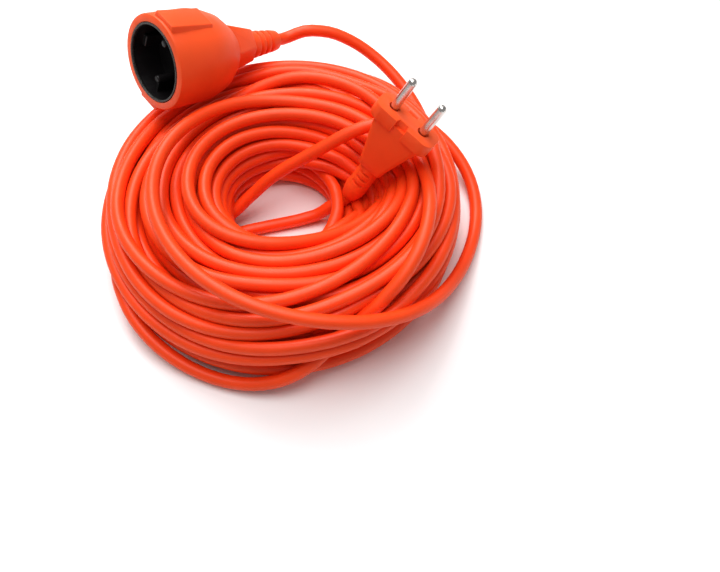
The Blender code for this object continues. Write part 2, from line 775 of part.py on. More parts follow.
def plug_seat(frame):
    """The room that the plug and its strain relief take up in the coil."""
    length = PLUG_BODY_LENGTH + PLUG_BOOT_LENGTH
    return loft(
        "plug_seat",
        [
            body_section(1 * MM, FLANGE_LENGTH / 2 + MM, FLANGE_WIDTH / 2 + MM, 5 * MM),
            body_section(-10 * MM, FLANGE_LENGTH / 2 + MM, FLANGE_WIDTH / 2 + MM, 5 * MM),
            body_section(-PLUG_BODY_LENGTH, 9.5 * MM, 8 * MM, 3 * MM),
            body_section(-length - 8 * MM, 7 * MM, 7 * MM, 3 * MM),
        ],
        frame,
        CUTTERS,
    )


def build_coil(seats):
    """The coil's outer shape, with a seat where the plug and the socket press into it."""
    coil = turned("cord_coil", coil_profile(), steps=64, ring=True)
    coil.location = COIL_CENTRE
    for seat in seats:
        cut(coil, seat)
    return finish(coil, RUBBER)


def build_leads(socket_frame, plug_frame):
    """The stretches of cord that leave the coil, each cut where it meets the coil's surface."""
    bpy.context.view_layer.update()
    boot_end = -SOCKET_LENGTH - 2 * GAP - BOOT_LENGTH
    socket_exit = socket_frame.matrix_world @ Vector((0, 0, boot_end))
    socket_line = (socket_frame.matrix_world.to_3x3() @ Vector((0, 0, -1))).normalized()
    relief_end = -PLUG_BODY_LENGTH - 2 * GAP - PLUG_BOOT_LENGTH
    plug_exit = plug_frame.matrix_world @ Vector((0, 0, relief_end))
    plug_line = (plug_frame.matrix_world.to_3x3() @ Vector((0, 0, -1))).normalized()
    routes = {
        "lead_to_socket": [socket_exit, socket_exit + socket_line * 10 * MM]
        + [on_circle(*point) for point in SOCKET_LEAD],
        "lead_to_plug": [plug_exit, plug_exit + plug_line * 6 * MM]
        + [on_circle(*point) for point in PLUG_LEAD],
        "loose_loop": [on_circle(*point) for point in LOOSE_LOOP],
        "crossing_run": [on_circle(*point) for point in CROSSING_RUN],
    }
    for name, points in routes.items():
        lead = as_mesh(tube(name, smooth_route(points, TUBE_STEP), CORD_DIAMETER))
        cutter = turned(f"{name}_end_cut", coil_profile(GAP), None, CUTTERS, 64, ring=True)
        cutter.location = COIL_CENTRE
        cut(lead, cutter)
        finish(lead, RUBBER)


clear_scene()
PARTS = new_collection("extension_cord")
CUTTERS = new_collection("cutters")
RUBBER = make_material("orange_pvc", ORANGE, 0.5)
MOULDED_BLACK = make_material("black_moulding", BLACK, 0.35)
SHUTTER_RED = make_material("red_moulding", RED, 0.45)
CARRIER_GREY = make_material("grey_moulding", GREY, 0.5)
CONTACT_BRASS = make_material("brass", BRASS, 0.3, 1.0)
PIN_NICKEL = make_material("nickel", NICKEL, 0.2, 1.0)
SPRING_STEEL = make_material("spring_steel", STEEL, 0.35, 1.0)
CORE_BROWN = make_material("brown_insulation", BROWN, 0.5)
CORE_BLUE = make_material("blue_insulation", BLUE, 0.5)

SOCKET = build_socket()
PLUG = build_plug()
build_coil([socket_seat(SOCKET), plug_seat(PLUG)])
build_leads(SOCKET, PLUG)
CUTTERS.hide_render = True
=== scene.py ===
"""Looks of the coiled extension cord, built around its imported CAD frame."""

import json
import math

import bmesh
import bpy
import numpy as np
from mathutils import Matrix, Vector


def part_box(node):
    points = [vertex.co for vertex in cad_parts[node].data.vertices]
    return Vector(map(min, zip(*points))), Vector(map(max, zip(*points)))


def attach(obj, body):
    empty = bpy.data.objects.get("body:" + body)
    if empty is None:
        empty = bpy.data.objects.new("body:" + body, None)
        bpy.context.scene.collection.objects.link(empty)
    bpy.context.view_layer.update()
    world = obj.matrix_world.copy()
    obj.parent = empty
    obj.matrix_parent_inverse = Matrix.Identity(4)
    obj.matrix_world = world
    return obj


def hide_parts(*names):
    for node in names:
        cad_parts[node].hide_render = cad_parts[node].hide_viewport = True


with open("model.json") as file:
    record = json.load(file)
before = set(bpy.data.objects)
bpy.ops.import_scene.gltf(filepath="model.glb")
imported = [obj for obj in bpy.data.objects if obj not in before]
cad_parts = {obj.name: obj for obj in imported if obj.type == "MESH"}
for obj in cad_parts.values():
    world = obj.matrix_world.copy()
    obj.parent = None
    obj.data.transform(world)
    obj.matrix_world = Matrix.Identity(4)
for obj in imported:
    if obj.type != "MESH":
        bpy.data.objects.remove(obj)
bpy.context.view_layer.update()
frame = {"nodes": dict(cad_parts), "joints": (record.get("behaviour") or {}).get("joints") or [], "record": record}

MM = 0.001

# ---------------------------------------------------------------- sizes and places

CORD_DIAMETER = 7.0 * MM
POINT_SPACING = 5.0 * MM
CORD_RESOLUTION = 6
MEAN_RADIUS = 64 * MM
FINE_STEPS = 16

# The coil's section, (radius, height) in mm, down its outer side and up its inner side.
COIL_OUTER = ((70, 54), (82, 52), (91, 46), (96.5, 36), (98, 22), (96.5, 9), (92, 0))
COIL_INNER = ((31, 0), (28, 6), (28, 20), (30.5, 33), (36, 43), (46, 50), (57, 53.5))
COIL_TOP = 52 * MM

# Listed routes: (angle in degrees, radius in mm, height in mm) about the coil's axis.
SOCKET_LEAD = (
    (131, 117, 38), (124, 122, 31), (116, 123, 24), (107, 120, 17),
    (98, 115, 11), (88, 108, 7), (78, 99, 7), (69, 90, 9),
)
PLUG_LEAD = (
    (57, 26.9, 8.2), (56, 19.5, 5), (52, 11.4, 3.9), (-63, 2.2, 3.7),
    (-113, 15.2, 3.7), (-115, 28.6, 4.2), (-115, 39.8, 5),
)
LOOSE_LOOP = (
    (-48, 75, 46), (-37, 84, 54), (-26, 90.5, 51.5), (-16, 95.5, 48), (-8, 99, 43),
    (0, 101.3, 36), (9, 102.2, 27), (19, 102.2, 17), (28, 103.6, 9.5), (37, 106.6, 4.6),
    (45, 109.3, 3.7), (54, 111.5, 3.7), (61, 112.5, 4.5), (67, 110.5, 8), (72, 105, 14),
    (77, 97, 20), (84, 88, 24),
)
CROSSING_RUN = (
    (-125, 36, 9), (-140, 24, 13.5), (-163, 18.8, 20), (168, 16.4, 26), (130, 15.9, 32),
    (98, 23.3, 38.5), (84, 33.6, 45.5), (79, 42.3, 51.5), (77, 51.5, 56), (75, 61, 57.5),
    (69, 69, 55), (64, 77, 47),
)
# Two strands that lie on the coil's surface, inside its outer shape.
TOP_STRAND = (
    (161, 51.8, 60), (179, 51, 60), (-161, 53.5, 60), (-146, 57, 60), (-133, 60.7, 58.5),
    (-118, 63, 57), (-104, 65, 56.5), (-90, 67, 57), (-75, 71, 57.5), (-61, 76, 57.5),
)
TOP_TO_LOOP = ((-48, 81, 57.3),)
FRONT_STRAND = (
    (-102, 98.2, 20), (-94, 99.7, 12), (-80, 100.4, 5), (-69, 99.8, 3.6), (-61, 99.4, 3.6),
    (-53, 97.6, 3.6), (-45, 95.3, 6), (-32, 92.9, 14), (-19, 92.4, 26), (-6, 93.9, 42),
    (7, 91.4, 54), (20, 84.5, 56), (36, 80.5, 54), (49, 69.8, 56),
)
# Where a stretch turns into the coil's winding, or out of it, hidden under other turns.
PLUG_TURN_IN = ((-113.5, 50, 4.8), (-108, 60, 4.2), (-99, 66.5, 3.8), (-88, 69, 3.6))
CROSSING_TURN_IN = ((-119, 47, 12), (-109, 55, 13), (-97, 60, 12))
SOCKET_TURN_OUT = ((48, 80.5, 9), (59, 83, 9))
# The turns between one listed stretch and the next: their share of the coil, the radius
# that they keep near and the height that they stay under, in mm.
TURN_GROUPS = ((0.34, 44, 42), (0.30, 78, 42), (0.28, 64, 60), (0.08, 92, 30))
# What a place costs per metre of height and per metre off the group's radius, next to the
# metres from the last turn; and the order in which the groups choose their places.
LOW_FIRST = 0.7
NEAR_RADIUS = 0.5
GROUP_ORDER = (3, 0, 1, 2)
# How freely each listed stretch gives way to its neighbours.
HELD = (0.0, 0.0, 0.25, 0.08, 0.0)
TURN_SPACING = 8.05 * MM

# The turns' irregular waves: waves per radian, sizes, phases, and the turn over which they fade.
WANDER_PACES = (0.37, 0.61, 0.93, 1.29, 1.71, 2.2)
WANDER_FALL = 0.35
WANDER_RADIUS = 1.3 * MM
WANDER_HEIGHT = 1.0 * MM
RADIUS_PHASE = 1.7
HEIGHT_PHASE = 4.3
FADE_DEGREES = 90

# The settling, step by step.
RELAX_STEPS = 500
# The last steps let every stretch but the two ends give a little, so that no joint kinks.
IRON_STEPS = 60
IRON_FREEDOM = 0.12
IRON_FADE = 4
NEIGHBOUR_EVERY = 10
NEIGHBOUR_REACH = 12 * MM
SKIP_ALONG = 4
LEAST_DISTANCE = 0.05 * MM
OVERSHOOT = 1.3
FALL_PER_STEP = 0.02 * MM
SMOOTHING = 0.25
SMOOTH_REACHES = (1, 3)
LEAST_BEND = 34 * MM
BEND_PULL = 0.25
CONTAINER_PULL = 0.3

CAMERA_PLACE = (200.3 * MM, -133.3 * MM, 354.8 * MM)
CAMERA_TURN = (math.radians(28), 0, math.radians(47.4))
CAMERA_LENS = 36.425
FLOOR_SIZE = 2.0
FLOOR_TONES = ((0.93, 0.93, 0.935), (0.95, 0.95, 0.952))
WORLD_STRENGTH = 0.36
# Soft lights that point at the origin: name, place, size, power.
LIGHTS = (
    ("overhead", (-0.25, 0.1, 1.8), 1.6, 26),
    ("key", (-1.1, 0.55, 1.25), 0.9, 15),
)
DISPLAY_GAMMA = 0.84

ORANGE = (0.94, 0.090, 0.010)
# The shells' own orange, made lighter as painted light for the light that the socket's sides miss.
SHELL_ORANGE_WITH_PAINTED_LIGHT = (0.97, 0.125, 0.022)
PVC_GLOW = 0.12
PVC_GLOW_COLOURS = (1.0, 0.25, 0.08)
PVC_GLOW_DEPTH = 1.2 * MM
BLACK = (0.011, 0.009, 0.010)
DUST = (0.25, 0.24, 0.23)
SCUFFED = (0.22, 0.22, 0.20)
RED = (0.62, 0.018, 0.014)
GREY = (0.30, 0.29, 0.28)
BRASS = (0.80, 0.58, 0.26)
NICKEL = (0.74, 0.71, 0.68)
STEEL = (0.56, 0.56, 0.57)
TARNISH = 0.82
BROWN = (0.13, 0.045, 0.02)
BLUE = (0.02, 0.10, 0.42)

# Socket and plug, along their own axes.
RECESS_DEPTH = 17.5 * MM
SOCKET_EXIT = 86.6 * MM
PLUG_EXIT = 62.6 * MM
# The section of the insert's edge, (radius, height), and of its label frame, (inset, rise).
RIM_SECTION = tuple(
    (r * MM, z * MM)
    for r, z in ((19.42, -1.6), (19.36, 0.05), (19.6, 0.32), (20.1, 0.36), (20.5, 0.2), (20.6, -0.4))
)
RIM_STEPS = 120
LABEL_SECTION = ((0, -0.2 * MM), (0, 0.3 * MM), (0.5 * MM, 0.3 * MM), (0.5 * MM, -0.2 * MM))
LABEL_SIZE = (10 * MM, 9 * MM)
LABEL_ROUNDING = 0.06 * MM
# Room that the cord keeps clear of: depth behind the face, half width in X and in Y, in mm.
SOCKET_ROOM = (
    (0, 25.2, 27), (26, 25.2, 26), (39, 21, 21), (46, 16.5, 17), (64, 10, 13.5),
    (68, 8, 8), (80, 6, 6), (86, 5, 5),
)
PLUG_ROOM = ((0, 18.2, 8.2), (7.5, 18.2, 8.2), (14, 13.5, 7.5), (36, 8, 6.6), (62, 6, 5.5))
# How square the room's section is, how far it eases out on each side, how hard it pushes, how
# far past the middle it still reaches, and the least part of its push that goes across a turn.
PROFILE_POWER = 2.5
ROOM_SKIRT = 6 * MM
KEEP_OFF_PULL = 0.4
KEEP_OFF_REACH = 18 * MM
LEAST_ACROSS = 0.3
# The cord leaves each strain relief straight for this far.
PLUG_STRAIGHT = 6 * MM
SOCKET_STRAIGHT = 10 * MM

# CAD shells that get rounded edges: node, piece, and the rounding's width.
SHELLS = (
    ("socket_housing", "socket_shell", 0.9 * MM),
    ("socket_strain_relief", "socket_boot", 0.5 * MM),
    ("plug_body", "plug_shell", 0.8 * MM),
    ("plug_strain_relief", "plug_boot", 0.4 * MM),
)
INSERT_ROUNDING = 0.35 * MM
ROUNDING_SEGMENTS = 3
WELD = 0.005 * MM
FLAT_ANGLE = math.radians(1)
EDGE_ANGLE = math.radians(32)

# ---------------------------------------------------------------- frames of the CAD parts


def axes(along, second):
    """A rotation whose Z is along the first direction and whose Y is as near the second as it can be."""
    z = Vector(along).normalized()
    y = (Vector(second) - z * z.dot(Vector(second))).normalized()
    return Matrix((y.cross(z), y, z)).transposed().to_4x4()


def mount(name):
    return next(m for m in frame["record"]["mounts"] if m["name"] == name)


def box_centre(node):
    low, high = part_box(node)
    return (low + high) / 2


def socket_frame():
    """Origin at the socket's face, +Z out of it and +Y along the shutter's travel."""
    floor = mount("socket_floor")
    turn = axes(floor["axis"], frame["joints"][0]["axis"])
    place = Vector(floor["pos_m"]) + Vector(floor["axis"]) * RECESS_DEPTH
    return Matrix.Translation(place) @ turn


def plug_frame():
    """Origin at the plug's face, +Z along its pins and +X from the left pin to the right."""
    face = mount("plug_face")
    z = Vector(face["axis"])
    x = box_centre("plug_pin_right") - box_centre("plug_pin_left")
    return Matrix.Translation(face["pos_m"]) @ axes(z, z.cross(x))


coil_low, coil_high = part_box("cord_coil")
COIL_CENTRE = np.array([(coil_low.x + coil_high.x) / 2, (coil_low.y + coil_high.y) / 2, 0.0])
SOCKET = socket_frame()
PLUG = plug_frame()

# ---------------------------------------------------------------- the cord's route


def on_circle(angle, radius, height):
    """A point by its angle in degrees, and its radius and height in mm, about the coil's axis."""
    turn = math.radians(angle)
    return np.array([radius * math.cos(turn), radius * math.sin(turn), height]) * MM + COIL_CENTRE


def hand_laid(points):
    return np.array([on_circle(*point) for point in points])


def ring_limits(height):
    """The least and the greatest radius that a cord's middle may have in the coil at a height."""
    heights, radii = zip(*sorted((z, r) for r, z in COIL_OUTER))
    outer = np.interp(height, np.array(heights) * MM, np.array(radii) * MM) - CORD_DIAMETER / 2
    heights, radii = zip(*sorted((z, r) for r, z in COIL_INNER))
    inner = np.interp(height, np.array(heights) * MM, np.array(radii) * MM) + CORD_DIAMETER / 2
    return inner, outer


def turn_places():
    """Where turns can lie in the coil's section: (radius, height), row on row."""
    row_height = TURN_SPACING * math.sqrt(3) / 2
    places = []
    height = CORD_DIAMETER / 2
    while height < COIL_TOP:
        inner, outer = ring_limits(height)
        count = max(2, int((outer - inner) / TURN_SPACING) + 1)
        places += [(radius, height) for radius in np.linspace(inner, outer, count)]
        height += row_height
    return places


def wander(angle, shift, size):
    """A slow irregular wave along the winding, made of waves that never fall in step."""
    total = np.zeros_like(angle)
    for index, pace in enumerate(WANDER_PACES):
        total += np.sin(pace * angle + shift * (index + 1) ** 2) / (1 + WANDER_FALL * index)
    return total * size


def share_places(starts):
    """Each group's places in the coil in winding order: low ones first, each near the last."""
    places = turn_places()
    total = len(places)
    groups = [[] for _ in TURN_GROUPS]
    for index in GROUP_ORDER:
        share, near, ceiling = TURN_GROUPS[index]
        last = starts[index]
        for _ in range(min(round(share * total), len(places))):
            low = [place for place in places if place[1] < ceiling * MM] or places

            def cost(place):
                stray = abs(place[0] - near * MM)
                return math.dist(place, last) + LOW_FIRST * place[1] + NEAR_RADIUS * stray

            last = min(low, key=cost)
            places.remove(last)
            groups[index].append(last)
    return groups


def wind_turns(places, start, end):
    """One turn through each place in order; start and end are (degrees, radius, height)."""
    used = [start[1:]] + places + [end[1:]]
    turns = len(places)
    sweep = (end[0] - start[0]) % 360 + 360 * turns
    count = int(sweep / 360 * 2 * math.pi * MEAN_RADIUS / POINT_SPACING)
    along = np.linspace(0, 1, count)
    angle = np.radians(start[0] + sweep * along)
    step = along * (len(used) - 1)
    first = np.minimum(step.astype(int), len(used) - 2)
    part = step - first
    blend = part * part * (3 - 2 * part)
    table = np.array(used)
    place = table[first] * (1 - blend[:, None]) + table[first + 1] * blend[:, None]
    fade = np.clip(np.minimum(along, 1 - along) * sweep / FADE_DEGREES, 0, 1)
    radius = place[:, 0] + fade * wander(angle, RADIUS_PHASE, WANDER_RADIUS)
    height = place[:, 1] + fade * wander(angle, HEIGHT_PHASE, WANDER_HEIGHT)
    x = radius * np.cos(angle) + COIL_CENTRE[0]
    y = radius * np.sin(angle) + COIL_CENTRE[1]
    return np.stack([x, y, np.maximum(height, CORD_DIAMETER / 2)], axis=1)


def through(points, spacing):
    """Evenly spaced points along a smooth curve through the given points."""
    ends = np.concatenate([[2 * points[0] - points[1]], points, [2 * points[-1] - points[-2]]])
    fine = []
    for before, start, end, after in zip(ends, ends[1:], ends[2:], ends[3:]):
        for t in np.arange(FINE_STEPS) / FINE_STEPS:
            a, b = 2 * t**3 - 3 * t**2 + 1, t**3 - 2 * t**2 + t
            c, d = -2 * t**3 + 3 * t**2, t**3 - t**2
            fine.append(a * start + b * (end - before) / 2 + c * end + d * (after - start) / 2)
    return evenly(np.array(fine + [points[-1]]), spacing)


def evenly(points, spacing):
    """The same line with its points a constant distance apart."""
    steps = np.linalg.norm(np.diff(points, axis=0), axis=1)
    distance = np.concatenate([[0], np.cumsum(steps)])
    wanted = np.linspace(0, distance[-1], max(2, round(distance[-1] / spacing) + 1))
    return np.stack([np.interp(wanted, distance, points[:, axis]) for axis in range(3)], axis=1)


def lay_cord(socket, plug):
    """The cord from the plug's strain relief to the socket's, and how freely each point moves."""
    plug_exit = plug @ Vector((0, 0, -PLUG_EXIT))
    plug_on = plug @ Vector((0, 0, -PLUG_EXIT - PLUG_STRAIGHT))
    socket_exit = socket @ Vector((0, 0, -SOCKET_EXIT))
    socket_on = socket @ Vector((0, 0, -SOCKET_EXIT - SOCKET_STRAIGHT))
    stretches = []
    fixed = [
        np.concatenate([[plug_exit, plug_on], hand_laid(PLUG_LEAD + PLUG_TURN_IN)]),
        hand_laid(CROSSING_RUN[::-1] + CROSSING_TURN_IN),
        hand_laid(FRONT_STRAND),
        hand_laid(TOP_STRAND + TOP_TO_LOOP + LOOSE_LOOP[1:]),
        np.concatenate([hand_laid(SOCKET_TURN_OUT + SOCKET_LEAD[::-1]), [socket_on, socket_exit]]),
    ]
    ends = [
        (PLUG_TURN_IN[-1], CROSSING_RUN[-1]),
        (CROSSING_TURN_IN[-1], FRONT_STRAND[0]),
        (FRONT_STRAND[-1], TOP_STRAND[0]),
        (LOOSE_LOOP[-1], SOCKET_TURN_OUT[0]),
    ]
    ends = [[(a, r * MM, z * MM) for a, r, z in pair] for pair in ends]
    groups = share_places([start[1:] for start, _ in ends])
    for index, points in enumerate(fixed):
        stretches.append((through(points, POINT_SPACING), HELD[index]))
        if index < len(ends):
            stretches.append((wind_turns(groups[index], *ends[index]), 1.0))
    # Each stretch but the last gives up its end point, which the next one starts with.
    kept = [(points[:-1], free) for points, free in stretches[:-1]] + stretches[-1:]
    line = np.concatenate([points for points, _ in kept])
    freedom = np.concatenate([np.full(len(points), free) for points, free in kept])
    return line, freedom


def near_pairs(line):
    """Points and the segments near them, leaving out each point's own stretch of cord."""
    line = line.astype(np.float32)
    square = (line**2).sum(axis=1)
    apart = line @ (-2 * line[:-1].T)
    apart += square[:, None]
    apart += square[None, :-1]
    point, segment = np.nonzero(apart < NEIGHBOUR_REACH**2)
    away = (segment - point > SKIP_ALONG) | (point - segment > SKIP_ALONG + 1)
    return point[away], segment[away]


def push_apart(line, point, segment, freedom):
    """Moves each point and each near segment apart until they are a cord's diameter apart."""
    start, end = line[segment], line[segment + 1]
    along = end - start
    reach = line[point] - start
    t = np.clip((reach * along).sum(axis=1) / (along**2).sum(axis=1), 0, 1)
    gap = reach - along * t[:, None]
    distance = np.maximum(np.linalg.norm(gap, axis=1), LEAST_DISTANCE)
    deep = distance < CORD_DIAMETER
    point, segment, t = point[deep], segment[deep], t[deep]
    gap, distance = gap[deep], distance[deep]
    mine, theirs = freedom[point], freedom[segment]
    # What crosses the lead that lies on the floor goes over it.
    over = (theirs == 0) & (start[deep][:, 2] < CORD_DIAMETER)
    gap[over, 2] = np.abs(gap[over, 2]) + distance[over]
    gap /= np.linalg.norm(gap, axis=1)[:, None]
    push = gap * (CORD_DIAMETER - distance)[:, None]
    share = mine / np.maximum(mine + theirs, 1e-6)
    moved = np.zeros_like(line)
    hits = np.zeros(len(line))
    parts = (
        (point, push * share[:, None], np.ones_like(t)),
        (segment, -push * ((1 - share) * (1 - t))[:, None], 1 - t),
        (segment + 1, -push * ((1 - share) * t)[:, None], t),
    )
    for where, change, weight in parts:
        hits += np.bincount(where, weight, len(line))
        for axis in range(3):
            moved[:, axis] += np.bincount(where, change[:, axis], len(line))
    held = freedom > 0
    line[held] += moved[held] / np.maximum(hits[held], 1)[:, None] * OVERSHOOT
    return (CORD_DIAMETER - distance).max() if len(distance) else 0.0


def keep_in_ring(line, rows):
    """Draws the coil's own points back inside its outer shape."""
    offset = line[rows] - COIL_CENTRE
    radius = np.hypot(offset[:, 0], offset[:, 1])
    inner, outer = ring_limits(offset[:, 2])
    wanted = radius + CONTAINER_PULL * (np.clip(radius, inner, outer) - radius)
    line[rows, :2] += offset[:, :2] * ((wanted - radius) / radius)[:, None]
    top = COIL_TOP - CORD_DIAMETER / 2
    line[rows, 2] -= CONTAINER_PULL * np.maximum(line[rows, 2] - top, 0)


def keep_off(line, rows, inverse, room, side):
    """Keeps points on one side of a part: its half widths across X and Y by depth are its room.

    Side is 1 for points that belong on the part's +Y side and -1 for the other side.
    """
    local = line[rows] @ inverse[:3, :3].T + inverse[:3, 3]
    depth, half_x, half_y = np.array(room).T * MM
    half_x = np.interp(-local[:, 2], depth, half_x) + CORD_DIAMETER / 2 + ROOM_SKIRT
    half_y = np.interp(-local[:, 2], depth, half_y) + CORD_DIAMETER / 2
    beside = np.clip(np.abs(local[:, 0]) / half_x, 0, 1)
    level = half_y * np.sqrt(1 - beside**PROFILE_POWER)
    within = (-local[:, 2] > depth[0]) & (-local[:, 2] < depth[-1]) & (beside < 1)
    within &= side * local[:, 1] > -KEEP_OFF_REACH
    short = np.where(within, level - side * local[:, 1], 0)
    # The push leaves out what would only slide a turn along itself.
    offset = line[rows] - COIL_CENTRE
    radius = np.hypot(offset[:, 0], offset[:, 1])
    around = np.stack([-offset[:, 1] / radius, offset[:, 0] / radius, 0 * radius], axis=1)
    outward = inverse[1, :3]
    push = outward - (around @ outward)[:, None] * around
    push /= np.maximum((push**2).sum(axis=1), LEAST_ACROSS)[:, None]
    line[rows] += push * (side * KEEP_OFF_PULL * np.maximum(short, 0))[:, None]


def smooth(line, freedom, reach):
    """Evens out bends about as long as the reach, in points, without drawing the turns inwards."""
    target = line.copy()
    ends = -line[: -4 * reach] - line[4 * reach :]
    middle = 4 * line[reach : -3 * reach] + 4 * line[3 * reach : -reach]
    target[2 * reach : -2 * reach] = (ends + middle) / 6
    line += (target - line) * SMOOTHING * freedom[:, None]


def limit_bends(line, freedom):
    """Opens any bend that is tighter than the cord allows."""
    bend = line[:-2] - 2 * line[1:-1] + line[2:]
    size = np.maximum(np.linalg.norm(bend, axis=1), 1e-9)
    most = POINT_SPACING**2 / LEAST_BEND
    excess = bend * np.maximum(1 - most / size, 0)[:, None]
    line[1:-1] += BEND_PULL * excess * freedom[1:-1, None]
    line[:-2] -= BEND_PULL / 2 * excess * freedom[:-2, None]
    line[2:] -= BEND_PULL / 2 * excess * freedom[2:, None]


def free_stretches(freedom):
    """The first and last index of each stretch of turns between two hand-laid ones."""
    turning = np.concatenate([[0], (freedom >= 1).astype(int), [0]])
    change = np.diff(turning)
    return list(zip(np.nonzero(change == 1)[0], np.nonzero(change == -1)[0] - 1))


def space_evenly(line, stretches):
    """Slides each stretch's points along it until they are evenly spaced."""
    for first, last in stretches:
        run = line[first : last + 1]
        steps = np.linalg.norm(np.diff(run, axis=0), axis=1)
        distance = np.concatenate([[0], np.cumsum(steps)])
        wanted = np.linspace(0, distance[-1], len(run))
        moved = [np.interp(wanted, distance, column) for column in run.T]
        line[first : last + 1] = np.stack(moved, axis=1)


def settle(line, freedom):
    """Lets the turns press each other into place, under a little weight."""
    free = np.nonzero(freedom > 0)[0]
    turns = np.nonzero(freedom >= 1)[0]
    socket_inverse = np.array(SOCKET.inverted())
    plug_inverse = np.array(PLUG.inverted())
    stretches = free_stretches(freedom)
    from_end = np.minimum(np.arange(len(line)), np.arange(len(line))[::-1])
    ironing = np.maximum(freedom, IRON_FREEDOM) * np.clip(from_end / IRON_FADE, 0, 1)
    for step in range(RELAX_STEPS):
        if step == RELAX_STEPS - IRON_STEPS:
            freedom = ironing
        if step % NEIGHBOUR_EVERY == 0:
            space_evenly(line, stretches)
            point, segment = near_pairs(line)
        line[turns, 2] -= FALL_PER_STEP
        keep_in_ring(line, turns)
        worst = push_apart(line, point, segment, freedom)
        for reach in SMOOTH_REACHES:
            smooth(line, freedom, reach)
        limit_bends(line, freedom)
        keep_off(line, free, socket_inverse, SOCKET_ROOM, -1)
        keep_off(line, free, plug_inverse, PLUG_ROOM, 1)
        line[:, 2] = np.maximum(line[:, 2], CORD_DIAMETER / 2)
    print("settled: deepest overlap", round(worst / MM, 2), "mm")
    return line


# ---------------------------------------------------------------- materials


class Shader:
    """A Principled material built node by node."""

    def __init__(self, name, roughness=0.5, metallic=0.0):
        self.material = bpy.data.materials.new(name)
        self.material.use_nodes = True
        self.tree = self.material.node_tree
        self.shader = self.tree.nodes["Principled BSDF"]
        self.shader.inputs["Roughness"].default_value = roughness
        self.shader.inputs["Metallic"].default_value = metallic
        coordinates = self.tree.nodes.new("ShaderNodeTexCoord")
        self.place = coordinates.outputs["Object"]

    def noise(self, size, detail=3.0, roughness=0.5):
        """Noise with features of about that size in metres."""
        node = self.tree.nodes.new("ShaderNodeTexNoise")
        node.inputs["Scale"].default_value = 1 / size
        node.inputs["Detail"].default_value = detail
        node.inputs["Roughness"].default_value = roughness
        self.tree.links.new(self.place, node.inputs["Vector"])
        return node.outputs["Fac"]

    def ramp(self, value, stops):
        """A ramp of (position, colour) stops."""
        node = self.tree.nodes.new("ShaderNodeValToRGB")
        elements = node.color_ramp.elements
        while len(elements) < len(stops):
            elements.new(0.5)
        for element, (position, colour) in zip(elements, stops):
            element.position = position
            element.color = (*colour, 1)
        self.tree.links.new(value, node.inputs["Fac"])
        return node.outputs["Color"]

    def scaled(self, value, low, high):
        """The value from 0 to 1 stretched to run from low to high."""
        node = self.tree.nodes.new("ShaderNodeMapRange")
        node.inputs["To Min"].default_value = low
        node.inputs["To Max"].default_value = high
        self.tree.links.new(value, node.inputs["Value"])
        return node.outputs["Result"]

    def bump(self, value, height, strength=1.0, below=None):
        """A relief that high in metres, over the one below it if there is one."""
        node = self.tree.nodes.new("ShaderNodeBump")
        node.inputs["Distance"].default_value = height
        node.inputs["Strength"].default_value = strength
        self.tree.links.new(value, node.inputs["Height"])
        if below:
            self.tree.links.new(below, node.inputs["Normal"])
        return node.outputs["Normal"]

    def mixed(self, base, other, factor, most):
        """A base colour, a tuple or an output, with another over it by the factor, up to most."""
        node = self.tree.nodes.new("ShaderNodeMix")
        node.data_type = "RGBA"
        if isinstance(base, tuple):
            node.inputs["A"].default_value = (*base, 1)
        else:
            self.tree.links.new(base, node.inputs["A"])
        node.inputs["B"].default_value = (*other, 1)
        self.tree.links.new(self.scaled(factor, 0, most), node.inputs["Factor"])
        return node.outputs["Result"]

    def connect(self, output, socket):
        """Feeds an input of the Principled shader."""
        self.tree.links.new(output, self.shader.inputs[socket])


def shade(colour, factor):
    """The colour made lighter or darker."""
    return tuple(min(1.0, channel * factor) for channel in colour)


def orange_pvc(name, colour=ORANGE, roughness=0.42, grain=0.35 * MM, grain_height=0.012 * MM):
    """Soft satin PVC: a slow drift of tone, fine grain, and patches rubbed smoother or duller."""
    made = Shader(name, roughness)
    drift = made.noise(22 * MM, 2)
    tone = made.ramp(drift, [(0.30, shade(colour, 0.94)), (0.70, shade(colour, 1.05))])
    made.connect(tone, "Base Color")
    rubbed = made.noise(6 * MM, 4, 0.6)
    made.connect(made.scaled(rubbed, roughness - 0.07, roughness + 0.10), "Roughness")
    coarse = made.bump(made.noise(3.2 * MM, 2), 0.03 * MM, 0.5)
    made.connect(made.bump(made.noise(grain, 2), grain_height, 0.8, coarse), "Normal")
    made.shader.inputs["Subsurface Weight"].default_value = PVC_GLOW
    made.shader.inputs["Subsurface Radius"].default_value = PVC_GLOW_COLOURS
    made.shader.inputs["Subsurface Scale"].default_value = PVC_GLOW_DEPTH
    return made.material


def black_moulding(name):
    """Glossy moulded plastic with a fine pitted skin, faint flow clouds and a little pale dust."""
    made = Shader(name, 0.35)
    clouds = made.noise(9 * MM, 3)
    tone = made.ramp(clouds, [(0.32, shade(BLACK, 0.8)), (0.68, shade(BLACK, 1.25))])
    specks = made.ramp(made.noise(0.28 * MM, 2, 0.7), [(0.70, (0, 0, 0)), (0.76, (1, 1, 1))])
    made.connect(made.mixed(tone, DUST, specks, 0.18), "Base Color")
    made.connect(made.scaled(made.noise(2.5 * MM, 4, 0.6), 0.24, 0.46), "Roughness")
    made.connect(made.bump(made.noise(0.3 * MM, 3), 0.01 * MM, 0.8), "Normal")
    return made.material


def worn_edge(name):
    """The insert's cut edge: the same black plastic, scuffed grey in fine specks."""
    made = Shader(name, 0.5)
    specks = made.ramp(made.noise(0.45 * MM, 4, 0.75), [(0.44, (0, 0, 0)), (0.62, (1, 1, 1))])
    made.connect(made.mixed(BLACK, SCUFFED, specks, 0.75), "Base Color")
    made.connect(made.bump(made.noise(0.4 * MM, 4), 0.05 * MM, 1.0), "Normal")
    return made.material


